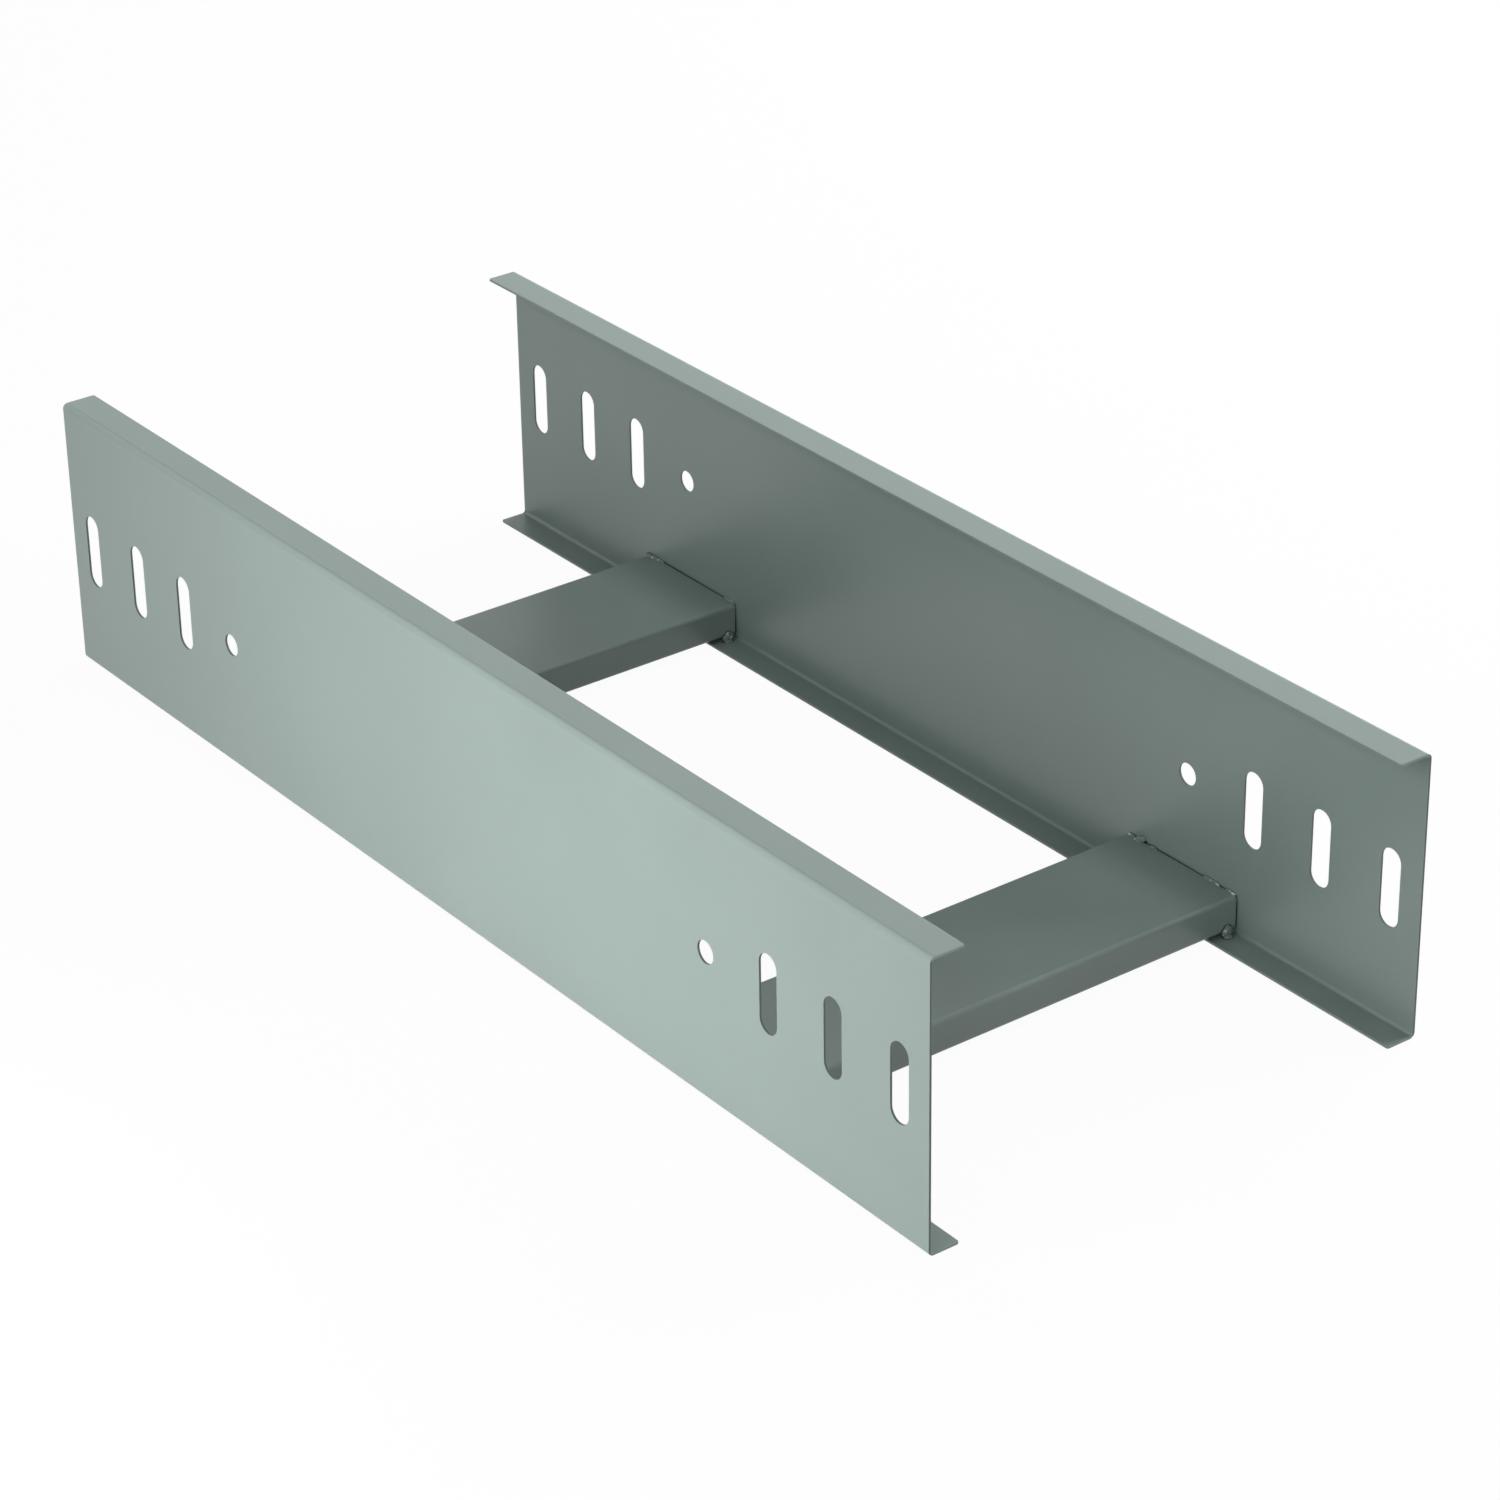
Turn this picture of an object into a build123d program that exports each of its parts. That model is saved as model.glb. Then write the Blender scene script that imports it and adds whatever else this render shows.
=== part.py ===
from build123d import *
import os
from math import sqrt

# A short cable ladder section standing on its lower flanges.
# X runs along the rails, Y across them and Z up, all in millimetres.
# The origin lies on the floor under the middle of the ladder.

# Overall size
ladder_length = 500.0
ladder_width = 200.0
rail_height = 103.6

# Side rails, folded from one sheet each
sheet_thickness = 0.8
rail_inner_bend = 1.2
upper_flange_width = 13.0
lower_flange_width = 11.8
flange_corner_radius = 0.8

# Splice slots and fixing hole at each rail end
slots_per_end = 3
slot_length = 28.5
slot_width = 8.8
first_slot_inset = 14.0
slot_pitch = 32.0
hole_diameter = 8.2
hole_inset = 110.0
pattern_height_offset = 2.6

# Rungs, folded from sheet with the open side down
left_rung_inset = 112.0
right_rung_inset = 111.0
rung_width = 55.0
rung_top_height = 14.8
rung_outer_bend = 1.6
rung_lip_width = 9.0

# Clearances where the rungs meet the rails
rung_end_gap = 0.6
rung_flange_clearance = 1.2

rail_outer_bend = rail_inner_bend + sheet_thickness
web_inner_face = ladder_width / 2 - sheet_thickness

# The rung ends are tacked to the webs and hang just clear of the flanges' inside bends.
bend_reach = max(rail_inner_bend - rung_end_gap, 0)
bend_rise = rail_inner_bend - sqrt(rail_inner_bend**2 - bend_reach**2)
rung_underside = sheet_thickness + bend_rise + rung_flange_clearance


def folded_strip(outer_corners, outer_bend, plane, length):
    """Sheet bent round the given outer corners, drawn on a plane and pulled out along its normal."""
    outer_line = FilletPolyline(*outer_corners, radius=outer_bend)
    outline = offset(outer_line, amount=sheet_thickness, side=Side.RIGHT, closed=True)
    section = make_face(outline.edges())
    return extrude(plane * section, amount=length)


def end_pattern(end_side):
    """Cutters for the slots and the hole at one end of the front rail."""
    height = rail_height / 2 + end_side * pattern_height_offset
    web_plane = Plane.XZ.offset(ladder_width / 2 + sheet_thickness)
    cutters = []
    for number in range(slots_per_end):
        slot_x = end_side * (ladder_length / 2 - first_slot_inset - number * slot_pitch)
        slot = Pos(slot_x, height) * SlotOverall(slot_length, slot_width, rotation=90)
        cutters.append(extrude(web_plane * slot, amount=-4 * sheet_thickness))
    hole_x = end_side * (ladder_length / 2 - hole_inset)
    hole = Pos(hole_x, height) * Circle(hole_diameter / 2)
    cutters.append(extrude(web_plane * hole, amount=-4 * sheet_thickness))
    return cutters


def front_rail():
    """C section rail whose flanges point toward the middle of the ladder."""
    outer_face = -ladder_width / 2
    corners = [
        (outer_face + lower_flange_width, 0),
        (outer_face, 0),
        (outer_face, rail_height),
        (outer_face + upper_flange_width, rail_height),
    ]
    start_plane = Plane.YZ.offset(-ladder_length / 2)
    rail = folded_strip(corners, rail_outer_bend, start_plane, ladder_length)
    tip_corners = [edge for edge in rail.edges().filter_by(Axis.Z) if edge.length < 2 * sheet_thickness]
    rail = fillet(tip_corners, flange_corner_radius)
    for end_side in (-1, 1):
        for cutter in end_pattern(end_side):
            rail = rail - cutter
    return rail


def rung(centre_x):
    """Lipped channel between the rails with its open side down."""
    left = centre_x - rung_width / 2
    right = centre_x + rung_width / 2
    corners = [
        (left + rung_lip_width, rung_underside),
        (left, rung_underside),
        (left, rung_top_height),
        (right, rung_top_height),
        (right, rung_underside),
        (right - rung_lip_width, rung_underside),
    ]
    half_length = web_inner_face - rung_end_gap
    end_plane = Plane.XZ.offset(-half_length)
    return folded_strip(corners, rung_outer_bend, end_plane, 2 * half_length)


front = front_rail()
pieces = {
    "side_rail_front": front,
    "side_rail_back": Rot(0, 0, 180) * front,
    "rung_left": rung(left_rung_inset - ladder_length / 2),
    "rung_right": rung(ladder_length / 2 - right_rung_inset),
}

os.makedirs("parts", exist_ok=True)
for name, piece in pieces.items():
    piece.label = name
    export_step(piece, f"parts/{name}.step")
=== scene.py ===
import math
import bmesh
import bpy
from mathutils import Matrix, Vector, noise


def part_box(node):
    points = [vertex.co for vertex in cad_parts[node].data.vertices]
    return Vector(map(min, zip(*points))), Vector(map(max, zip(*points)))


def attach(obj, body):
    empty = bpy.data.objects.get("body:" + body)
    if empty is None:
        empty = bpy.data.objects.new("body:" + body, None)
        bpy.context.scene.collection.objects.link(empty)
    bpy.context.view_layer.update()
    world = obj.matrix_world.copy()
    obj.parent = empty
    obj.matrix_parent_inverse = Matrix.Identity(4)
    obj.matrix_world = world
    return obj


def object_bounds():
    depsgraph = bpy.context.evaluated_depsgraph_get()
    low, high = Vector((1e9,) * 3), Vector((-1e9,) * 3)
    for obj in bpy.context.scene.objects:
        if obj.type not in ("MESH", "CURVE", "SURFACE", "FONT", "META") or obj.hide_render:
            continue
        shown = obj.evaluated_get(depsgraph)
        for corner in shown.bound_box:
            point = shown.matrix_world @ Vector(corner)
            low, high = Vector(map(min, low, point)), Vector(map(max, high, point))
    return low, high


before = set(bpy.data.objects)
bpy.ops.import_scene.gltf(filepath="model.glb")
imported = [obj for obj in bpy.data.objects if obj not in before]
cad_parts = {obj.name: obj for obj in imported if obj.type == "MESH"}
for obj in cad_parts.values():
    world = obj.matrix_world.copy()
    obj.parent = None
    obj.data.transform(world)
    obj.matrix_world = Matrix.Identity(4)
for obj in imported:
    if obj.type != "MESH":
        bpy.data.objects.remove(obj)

mm = 0.001
solidLow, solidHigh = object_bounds()  # box of the solids alone
sheetThickness = 0.8 * mm
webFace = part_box("side_rail_back")[1].y - sheetThickness  # inner face of the web
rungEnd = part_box("rung_left")[1].y
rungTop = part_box("rung_left")[1].z
print("frame loaded:", ", ".join(sorted(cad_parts)))


def linearColour(hexCode):
    parts = [int(hexCode[i:i + 2], 16) / 255 for i in (0, 2, 4)]
    return [c / 12.92 if c <= 0.04045 else ((c + 0.055) / 1.055) ** 2.4 for c in parts] + [1.0]


def addNode(tree, kind, settings=None, links=None):
    node = tree.nodes.new(kind)
    for name, value in (settings or {}).items():
        if isinstance(name, int) or name in node.inputs:
            node.inputs[name].default_value = value
        else:
            setattr(node, name, value)
    for name, source in (links or {}).items():
        tree.links.new(source, node.inputs[name])
    return node


def newMaterial(name):
    material = bpy.data.materials.new(name)
    material.use_nodes = True
    material.node_tree.nodes.clear()
    return material, material.node_tree


# camera at the photo's angle, aimed a little beside the middle of the section
photoCamera = {
    "azimuth": 53.388,
    "elevation": 28.331,
    "roll": -0.933,
    "distance": 1597.1 * mm,
    "aimRight": 18.34 * mm,
    "aimUp": -16.78 * mm,
    "lens": 112.18,
    "sensor": 36.0,
    "clipStart": 50 * mm,
    "clipEnd": 20.0,
}


def placeCamera(view):
    turn, tilt, roll = (math.radians(view[key]) for key in ("azimuth", "elevation", "roll"))
    back = Vector((math.sin(turn) * math.cos(tilt), -math.cos(turn) * math.cos(tilt), math.sin(tilt)))
    right = Vector((0, 0, 1)).cross(back).normalized()
    up = back.cross(right)
    frameRight = right * math.cos(roll) + up * math.sin(roll)
    frameUp = up * math.cos(roll) - right * math.sin(roll)
    middle = (solidLow + solidHigh) / 2
    place = middle + frameRight * view["aimRight"] + frameUp * view["aimUp"] + back * view["distance"]
    lens = bpy.data.cameras.new("photoCamera")
    lens.lens = view["lens"]
    lens.sensor_width = view["sensor"]
    lens.clip_start = view["clipStart"]
    lens.clip_end = view["clipEnd"]
    camera = bpy.data.objects.new("photoCamera", lens)
    bpy.context.scene.collection.objects.link(camera)
    turned = Matrix((frameRight, frameUp, back)).transposed().to_4x4()
    camera.matrix_world = Matrix.Translation(place) @ turned
    bpy.context.scene.camera = camera


placeCamera(photoCamera)
print("camera placed")


# Powder-coated steel: polyester powder sprayed on cleaned sheet and baked at about 180 degrees.
# It flows to a satin skin with a faint orange peel, thinner on the cut edges than on the flats.
# Its pale edges and folds, and its dark cut faces and gaps, are painted highlight and painted shade.
powderCoat = {
    "lightColour": "8E9D98",
    "darkColour": "8A9994",
    "cloudSize": 60 * mm,      # slow drift in film thickness
    "cloudStops": (0.3, 0.7),
    "edgeHighlightColour": "AEBCB6",    # painted highlight along the arrises, which the coat rounds
    "edgeRadius": 0.3 * mm,
    "edgeTurn": (0.995, 0.75),  # cosine of the turn where the edge starts to pale, and where it is palest
    "edgeShare": 0.7,
    "foldHighlightColour": "A8B8B2",    # painted highlight on the upper side of the folds
    "foldTilt": (0.97, 0.85),  # squareness where a fold starts to pale, and where it is palest
    "foldFalloff": 3.0,        # how fast that fades as the fold turns down
    "foldSide": (-13 * mm, 25 * mm),  # distance from the middle times outward lean, at none and at full
    "cutShadeColour": "58635F",     # painted shade on the cut faces of the webs
    "cutDepth": 0.05 * mm,     # counted from this far inside the sheet
    "cutLean": 0.3,            # most that a cut face leans toward the web's own faces
    "gapShadeColour": "0A0C0B",    # painted shade in gaps too tight for light, drawn near black over the bare steel the charged powder misses
    "gapReach": 1.0 * mm,
    "gapOpen": 0.80,           # share of open sky above which no shade is painted
    "gapShut": 0.58,           # and below which the painted shade is full
    "gapTop": 1.0 * mm,        # gaps stop this far under the rungs' tops
    "gapEndRise": 1.5 * mm,    # and go on this much higher beside the rungs' ends
    "gapEndReach": 0.3 * mm,
    "ior": 1.5,
    "roughness": 0.38,
    "roughnessSpread": 0.02,
    "peelSize": 2.2 * mm,      # orange peel
    "peelHeight": 0.006 * mm,
    "grainSize": 0.5 * mm,     # real grain is near 0.05 mm, drawn coarser so that it shows
    "grainHeight": 0.0015 * mm,
}


# Each mask gives a share from 0 to 1 over the surface.
def edgeHighlightMask(tree, flat, rounded, finish):
    # painted highlight where the rounded surface turns away from the true one along an edge
    match = addNode(tree, "ShaderNodeVectorMath", {"operation": "DOT_PRODUCT"}, {0: rounded, 1: flat})
    edge = addNode(tree, "ShaderNodeMapRange",
                   {"From Min": finish["edgeTurn"][0], "From Max": finish["edgeTurn"][1],
                    "To Min": 0.0, "To Max": finish["edgeShare"]},
                   {"Value": match.outputs["Value"]})
    return edge.outputs["Result"]


# Painted highlight on the upper, outer side of the folds.
def foldHighlightMask(tree, where, flat, finish):
    # squareness is 1 on faces along an axis and falls to 0.5 half way round a fold
    squares = addNode(tree, "ShaderNodeVectorMath", {"operation": "MULTIPLY"}, {0: flat, 1: flat})
    squareness = addNode(tree, "ShaderNodeVectorMath", {"operation": "DOT_PRODUCT"},
                         {0: squares.outputs[0], 1: squares.outputs[0]})
    tilted = addNode(tree, "ShaderNodeMapRange",
                     {"From Min": finish["foldTilt"][0], "From Max": finish["foldTilt"][1]},
                     {"Value": squareness.outputs["Value"]})
    rise = addNode(tree, "ShaderNodeSeparateXYZ", links={0: flat}).outputs["Z"]
    upper = addNode(tree, "ShaderNodeMath", {"operation": "POWER", 1: finish["foldFalloff"]}, {0: rise})
    # strongest on the outside of a rail's folds, weaker on the rungs' and none on the inside
    facing = addNode(tree, "ShaderNodeVectorMath", {"operation": "MULTIPLY"}, {0: where, 1: flat})
    outward = addNode(tree, "ShaderNodeSeparateXYZ", links={0: facing.outputs[0]}).outputs["Y"]
    outside = addNode(tree, "ShaderNodeMapRange",
                      {"From Min": finish["foldSide"][0], "From Max": finish["foldSide"][1]},
                      {"Value": outward})
    crest = addNode(tree, "ShaderNodeMath", {"operation": "MULTIPLY"},
                    {0: tilted.outputs[0], 1: upper.outputs[0]})
    fold = addNode(tree, "ShaderNodeMath", {"operation": "MULTIPLY"},
                   {0: crest.outputs[0], 1: outside.outputs[0]})
    return fold.outputs[0]


def fromMiddle(tree, vector):
    # how far a vector reaches across the ladder, to either side
    size = addNode(tree, "ShaderNodeVectorMath", {"operation": "ABSOLUTE"}, {0: vector})
    return addNode(tree, "ShaderNodeSeparateXYZ", links={0: size.outputs[0]}).outputs["Y"]


def cutShadeMask(tree, where, flat, finish):
    # painted shade on the cut faces of the webs, which lie across their thickness
    inWeb = addNode(tree, "ShaderNodeMath", {"operation": "GREATER_THAN", 1: webFace + finish["cutDepth"]},
                    {0: fromMiddle(tree, where)})
    across = addNode(tree, "ShaderNodeMath", {"operation": "LESS_THAN", 1: finish["cutLean"]},
                     {0: fromMiddle(tree, flat)})
    cut = addNode(tree, "ShaderNodeMath", {"operation": "MULTIPLY"},
                  {0: inWeb.outputs[0], 1: across.outputs[0]})
    return cut.outputs[0]


# Painted shade in tight gaps, where little open sky is found close by.
def gapShadeMask(tree, where, finish):
    openSky = addNode(tree, "ShaderNodeAmbientOcclusion", {"samples": 8, "Distance": finish["gapReach"]})
    tight = addNode(tree, "ShaderNodeMapRange",
                    {"From Min": finish["gapOpen"], "From Max": finish["gapShut"]},
                    {"Value": openSky.outputs["AO"]})
    # only low down, and a little higher beside the rungs' ends
    endStart = rungEnd - finish["gapEndReach"]
    atEnd = addNode(tree, "ShaderNodeMath", {"operation": "GREATER_THAN", 1: endStart},
                    {0: fromMiddle(tree, where)})
    limit = addNode(tree, "ShaderNodeMath",
                    {"operation": "MULTIPLY_ADD", 1: finish["gapEndRise"], 2: rungTop - finish["gapTop"]},
                    {0: atEnd.outputs[0]})
    height = addNode(tree, "ShaderNodeSeparateXYZ", links={0: where}).outputs["Z"]
    low = addNode(tree, "ShaderNodeMath", {"operation": "LESS_THAN"}, {0: height, 1: limit.outputs[0]})
    gap = addNode(tree, "ShaderNodeMath", {"operation": "MULTIPLY"},
                  {0: tight.outputs[0], 1: low.outputs[0]})
    return gap.outputs[0]


# Painted glints: small pale flecks scattered by noise.
def paintedGlintMask(tree, where, finish):
    flecks = addNode(tree, "ShaderNodeTexNoise", {"Scale": 1 / finish["glintSize"], "Detail": 2.0},
                     {"Vector": where})
    glint = addNode(tree, "ShaderNodeMapRange",
                    {"From Min": finish["glintStops"][0], "From Max": finish["glintStops"][1]},
                    {"Value": flecks.outputs["Fac"]})
    return glint.outputs["Result"]


def powderCoatedSteel(name, finish):
    material, tree = newMaterial(name)
    where = addNode(tree, "ShaderNodeTexCoord").outputs["Object"]
    flat = addNode(tree, "ShaderNodeNewGeometry").outputs["Normal"]
    rounding = addNode(tree, "ShaderNodeBevel", {"samples": 6, "Radius": finish["edgeRadius"]})
    rounded = rounding.outputs["Normal"]

    # colour: slow clouds, then painted highlights and painted shade, and on welds painted glints
    clouds = addNode(tree, "ShaderNodeTexNoise",
                     {"Scale": 1 / finish["cloudSize"], "Detail": 3.0, "Roughness": 0.55}, {"Vector": where})
    shade = addNode(tree, "ShaderNodeValToRGB", links={"Fac": clouds.outputs["Fac"]})
    for stop, place, key in zip((0, 1), finish["cloudStops"], ("darkColour", "lightColour")):
        shade.color_ramp.elements[stop].position = place
        shade.color_ramp.elements[stop].color = linearColour(finish[key])
    masks = {
        "edgeHighlightColour": edgeHighlightMask(tree, flat, rounded, finish),
        "foldHighlightColour": foldHighlightMask(tree, where, flat, finish),
        "cutShadeColour": cutShadeMask(tree, where, flat, finish),
        "gapShadeColour": gapShadeMask(tree, where, finish),
    }
    if "paintedGlintColour" in finish:
        masks["paintedGlintColour"] = paintedGlintMask(tree, where, finish)
    colour = shade.outputs["Color"]
    for key, mask in masks.items():
        mixed = addNode(tree, "ShaderNodeMix", {"data_type": "RGBA", 7: linearColour(finish[key])},
                        {0: mask, 6: colour})
        colour = mixed.outputs[2]

    # gloss drifts with the same clouds
    gloss = addNode(tree, "ShaderNodeMapRange",
                    {"To Min": finish["roughness"] - finish["roughnessSpread"],
                     "To Max": finish["roughness"] + finish["roughnessSpread"]},
                    {"Value": clouds.outputs["Fac"]})

    # relief on the rounded edges: orange peel, then grain, then a weld's ripples
    layers = [("peel", 1.0), ("grain", 2.0)]
    if "rippleSize" in finish:
        layers.append(("ripple", 3.0))
    relief = rounded
    for layer, detail in layers:
        pattern = addNode(tree, "ShaderNodeTexNoise",
                          {"Scale": 1 / finish[layer + "Size"], "Detail": detail}, {"Vector": where})
        bump = addNode(tree, "ShaderNodeBump", {"Strength": 1.0, "Distance": finish[layer + "Height"]},
                       {"Height": pattern.outputs["Fac"], "Normal": relief})
        relief = bump.outputs["Normal"]

    surface = addNode(tree, "ShaderNodeBsdfPrincipled", {"IOR": finish["ior"], "Metallic": 0.0},
                      {"Base Color": colour, "Roughness": gloss.outputs["Result"], "Normal": relief})
    addNode(tree, "ShaderNodeOutputMaterial", links={"Surface": surface.outputs["BSDF"]})
    return material


coatedSheet = powderCoatedSteel("powder-coated steel", powderCoat)
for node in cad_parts.values():
    node.data.materials.clear()
    node.data.materials.append(coatedSheet)
print("powder coat on", len(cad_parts), "sheet metal parts")


# Tack welds, coated with the rest. Each tack is a few rounded heaps of weld metal fused into one.
# A heap is written as the rung's level and edge that it is measured from, its distance along the rail
# from that edge, in from the web and over that level, and its three half sizes, in millimetres.
tackWelds = {
    "voxel": 0.15 * mm,
    "smoothing": 3,
    "lumpHeight": 0.12 * mm,
    "lumpSize": 1.1 * mm,
    "left": {
        "topBackTack": [("top", "back", 1.0, 0.8, 0.0, (1.7, 1.1, 0.7)),
                        ("top", "back", 3.9, 0.6, 0.1, (1.9, 1.2, 0.9)),
                        ("top", "back", 7.6, 0.3, -0.1, (2.6, 0.9, 0.7))],
        "topFrontTack": [("top", "front", -5.0, 0.2, 0.1, (2.0, 0.9, 0.9)),
                         ("top", "front", -2.6, 0.2, 0.0, (2.3, 0.9, 0.9))],
        "frontFootTack": [("foot", "front", 0.0, 3.0, 0.2, (1.5, 1.5, 1.7)),
                          ("foot", "front", 0.2, 4.3, 0.4, (1.5, 1.5, 2.0)),
                          ("foot", "front", 0.2, 5.5, 0.0, (1.2, 1.0, 1.5)),
                          ("foot", "front", 0.8, 4.2, -1.2, (1.6, 2.2, 0.7))],
        "backFootTack": [("foot", "back", 0.0, 3.6, 0.3, (1.4, 2.0, 1.8)),
                         ("foot", "back", -0.6, 3.8, -1.2, (1.5, 2.3, 0.7))],
    },
    "right": {
        "topBackTack": [("top", "back", 2.4, 0.4, -0.1, (2.0, 0.8, 0.6)),
                        ("top", "back", 6.0, 1.0, 0.1, (2.2, 1.6, 0.8)),
                        ("top", "back", 7.7, 0.6, 0.8, (1.7, 1.2, 1.2)),
                        ("top", "back", 8.0, 0.3, 1.3, (1.2, 0.7, 0.9))],
        "topMiddleTack": [("top", "back", 13.2, 0.3, -0.1, (1.8, 0.7, 0.5))],
        "topFrontTack": [("top", "front", -14.2, 0.2, 0.1, (2.6, 0.9, 0.9)),
                         ("top", "front", -10.8, 0.2, 0.0, (2.6, 0.9, 0.9))],
        "cornerTack": [("top", "front", -3.4, 0.2, 0.0, (2.6, 0.8, 0.8))],
        "frontFootTack": [("foot", "front", 0.3, 4.3, 1.0, (1.6, 1.9, 2.1)),
                          ("foot", "front", 0.4, 5.5, 0.8, (1.3, 1.3, 1.6)),
                          ("foot", "front", 0.8, 4.4, -1.1, (1.5, 2.0, 0.8))],
        "backFootTack": [("foot", "back", -0.1, 4.1, 0.4, (1.5, 1.9, 1.8)),
                         ("foot", "back", -0.7, 4.2, -1.2, (1.4, 2.0, 0.7))],
    },
}
# Weld metal sets with a glassy rippled skin under scale, so the same coat shines more on it.
# Its colour is drawn darker as painted shade, its painted gap shade reaches wider, and glints are painted
# on.
weldCoat = dict(powderCoat, lightColour="7A8883", darkColour="717F7A", foldHighlightColour="7A8883", roughness=0.2,
                gapReach=2 * mm, gapOpen=0.6, gapShut=0.1, paintedGlintColour="F4F7F5", glintSize=1.3 * mm,
                glintStops=(0.61, 0.67), rippleSize=0.9 * mm, rippleHeight=0.12 * mm)
coatedWeld = powderCoatedSteel("powder-coated weld metal", weldCoat)


def fusedHeaps(heaps, welds):
    shape = bmesh.new()
    for middle, halfSizes in heaps:
        size = Matrix.Diagonal([half * mm for half in halfSizes] + [1])
        bmesh.ops.create_icosphere(shape, subdivisions=3, radius=1,
                                   matrix=Matrix.Translation(Vector(middle) * mm) @ size)
    rough = bpy.data.meshes.new("heaps")
    shape.to_mesh(rough)
    shape.free()
    blob = bpy.data.objects.new("heaps", rough)
    bpy.context.scene.collection.objects.link(blob)
    fuse = blob.modifiers.new("fuse", "REMESH")
    fuse.mode = "VOXEL"
    fuse.voxel_size = welds["voxel"]
    blob.modifiers.new("smooth", "SMOOTH").iterations = welds["smoothing"]
    bpy.context.view_layer.update()
    fused = bpy.data.meshes.new_from_object(blob.evaluated_get(bpy.context.evaluated_depsgraph_get()))
    bpy.data.objects.remove(blob)
    bpy.data.meshes.remove(rough)
    return fused


def tackWeldPiece(name, side, end, rungBox, welds):
    # front is the edge on the camera's side
    edges = {"back": rungBox[0].x / mm, "front": rungBox[1].x / mm,
             "foot": rungBox[0].z / mm, "top": rungBox[1].z / mm}
    joined = bmesh.new()
    for tack in welds[side].values():
        heaps = []
        for level, edge, along, inward, rise, halfSizes in tack:
            middle = (edges[edge] + along, end * (webFace / mm - inward), edges[level] + rise)
            heaps.append((middle, halfSizes))
        fused = fusedHeaps(heaps, welds)
        joined.from_mesh(fused)
        bpy.data.meshes.remove(fused)
    for vertex in joined.verts:
        lump = noise.noise(vertex.co / welds["lumpSize"])
        vertex.co += vertex.normal * lump * welds["lumpHeight"]
    mesh = bpy.data.meshes.new(name)
    joined.to_mesh(mesh)
    joined.free()
    for face in mesh.polygons:
        face.use_smooth = True
    mesh.materials.append(coatedWeld)
    piece = bpy.data.objects.new(name, mesh)
    bpy.context.scene.collection.objects.link(piece)
    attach(piece, "root")
    print(name, len(mesh.polygons), "faces")


# the hidden near ends carry the other rung's tacks, turned to face their own web
for rungSide, otherSide in (("left", "right"), ("right", "left")):
    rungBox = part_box("rung_" + rungSide)
    tackWeldPiece(f"tack_welds_{rungSide}_rung_back", rungSide, 1, rungBox, tackWelds)
    tackWeldPiece(f"tack_welds_{rungSide}_rung_front", otherSide, -1, rungBox, tackWelds)
print("tack welds added")


# plain white paper under the section, and the white room round it
studio = {
    "floorSize": 6.0,
    "floorColour": "E7E7E6",
    "bounceColour": "959595",  # the light that comes back off the paper is held down to this
    "floorGap": 0.3 * mm,      # just under the lower flanges
    "floorGlow": 0.96,         # share of plain white that the camera sees, so the shadow stays faint
}
# each softbox: its bearing from the front, its height angle, its distance, its width and height,
# and its glow beside plain white
softboxes = {
    "overheadSoftbox": {"bearing": 0, "rise": 90, "distance": 3.0, "size": (0.5, 0.5), "glow": 10.6},
    "overheadRearSoftbox": {"bearing": 180, "rise": 84, "distance": 3.0, "size": (0.5, 0.5), "glow": 13.3},
    "frontUpperSoftbox": {"bearing": 0, "rise": 39, "distance": 2.0, "size": (1.6, 0.77), "glow": 2.45},
    "frontLowerSoftbox": {"bearing": 0, "rise": 20, "distance": 2.0, "size": (2.1, 0.56), "glow": 1.64},
    "rightSoftbox": {"bearing": 60, "rise": 20, "distance": 2.0, "size": (2.1, 0.56), "glow": 1.5},
    "rightRearSoftbox": {"bearing": 120, "rise": 20, "distance": 2.0, "size": (2.1, 0.56), "glow": 1.22},
    "rearSoftbox": {"bearing": 180, "rise": 20, "distance": 2.0, "size": (2.1, 0.56), "glow": 17.5},
}
# low strips on the floor in front, which reach the near web but not the inside
floorStrips = {
    "nearStrip": {"left": -0.1, "right": 0.2, "away": 0.4, "height": 0.10, "glow": 8.0},
    "rightStrip": {"left": 0.2, "right": 0.5, "away": 0.4, "height": 0.10, "glow": 2.0},
    "farStrip": {"left": 0.5, "right": 2.5, "away": 2.0, "height": 0.20, "glow": 4.4},
}


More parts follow.
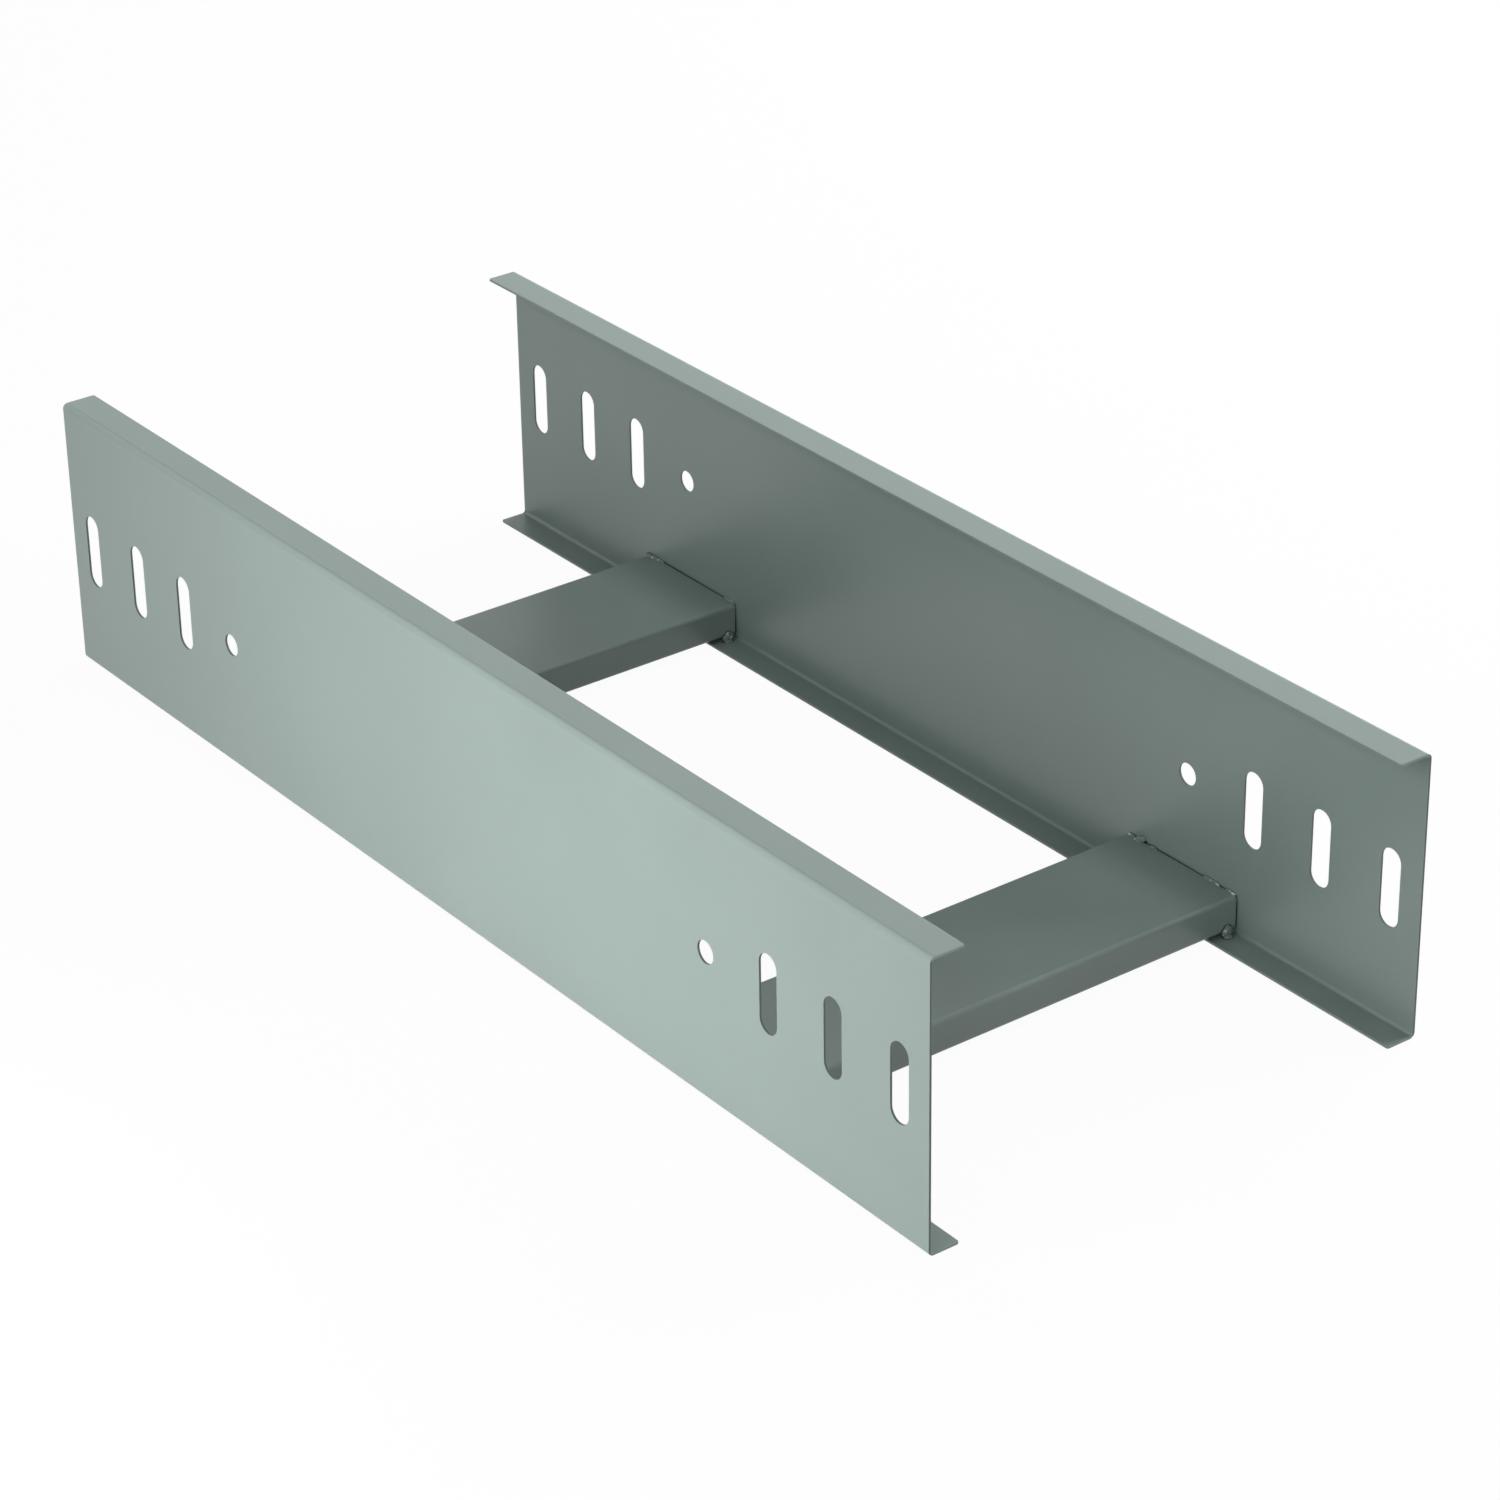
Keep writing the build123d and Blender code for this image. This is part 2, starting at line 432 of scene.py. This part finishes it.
def whiteFloor(room):
    material, tree = newMaterial("matte white paper")
    ray = addNode(tree, "ShaderNodeLightPath").outputs
    seen = addNode(tree, "ShaderNodeMath", {"operation": "MULTIPLY_ADD", 1: room["floorGlow"]},
                   {0: ray["Is Camera Ray"], 2: ray["Is Glossy Ray"]})
    bounced, direct = linearColour(room["bounceColour"]), linearColour(room["floorColour"])
    tone = addNode(tree, "ShaderNodeMix", {"data_type": "RGBA", 6: bounced, 7: direct},
                   {0: ray["Is Camera Ray"]})
    paper = addNode(tree, "ShaderNodeBsdfDiffuse", links={"Color": tone.outputs[2]})
    glow = addNode(tree, "ShaderNodeEmission", {"Color": (1, 1, 1, 1), "Strength": 1.0})
    both = addNode(tree, "ShaderNodeMixShader",
                   links={0: seen.outputs[0], 1: paper.outputs[0], 2: glow.outputs[0]})
    addNode(tree, "ShaderNodeOutputMaterial", links={"Surface": both.outputs[0]})
    half = room["floorSize"] / 2
    corners = [(-half, -half), (half, -half), (half, half), (-half, half)]
    mesh = bpy.data.meshes.new("floor")
    mesh.from_pydata([(x, y, solidLow.z - room["floorGap"]) for x, y in corners], [], [(0, 1, 2, 3)])
    mesh.materials.append(material)
    floor = bpy.data.objects.new("floor", mesh)
    bpy.context.scene.collection.objects.link(floor)


def whiteRoom():
    world = bpy.data.worlds.new("white room")
    world.use_nodes = True
    world.node_tree.nodes.clear()
    tree = world.node_tree
    ray = addNode(tree, "ShaderNodeLightPath").outputs
    strength = addNode(tree, "ShaderNodeMath", {"operation": "MAXIMUM"},
                       {0: ray["Is Camera Ray"], 1: ray["Is Glossy Ray"]})
    sky = addNode(tree, "ShaderNodeBackground", {"Color": (1, 1, 1, 1)}, {"Strength": strength.outputs[0]})
    addNode(tree, "ShaderNodeOutputWorld", links={"Surface": sky.outputs[0]})
    bpy.context.scene.world = world


def placeLamp(name, place, aim, size, glow):
    lamp = bpy.data.lights.new(name, "AREA")
    lamp.shape = "RECTANGLE"
    lamp.size, lamp.size_y = size
    lamp.energy = glow * math.pi * size[0] * size[1]
    softbox = bpy.data.objects.new(name, lamp)
    softbox.location = place
    softbox.rotation_euler = (Vector(aim) - Vector(place)).to_track_quat("-Z", "Y").to_euler()
    softbox.visible_camera = False
    softbox.visible_glossy = False  # the coat mirrors the white room alone
    bpy.context.scene.collection.objects.link(softbox)


whiteFloor(studio)
whiteRoom()
aimHeight = 30 * mm
stripClearance = 1 * mm
for name, box in softboxes.items():
    bearing, rise = math.radians(box["bearing"]), math.radians(box["rise"])
    toward = Vector((math.sin(bearing) * math.cos(rise),
                     -math.cos(bearing) * math.cos(rise), math.sin(rise)))
    placeLamp(name, toward * box["distance"], (0, 0, aimHeight), box["size"], box["glow"])
for name, strip in floorStrips.items():
    middle = (strip["left"] + strip["right"]) / 2
    height = strip["height"] / 2 + stripClearance
    size = (strip["right"] - strip["left"], strip["height"])
    placeLamp(name, (middle, -strip["away"], height), (middle, 0, height), size, strip["glow"])
bpy.context.scene.view_settings.view_transform = "Standard"
print("studio lit with", len(softboxes), "softboxes and", len(floorStrips), "floor strips")
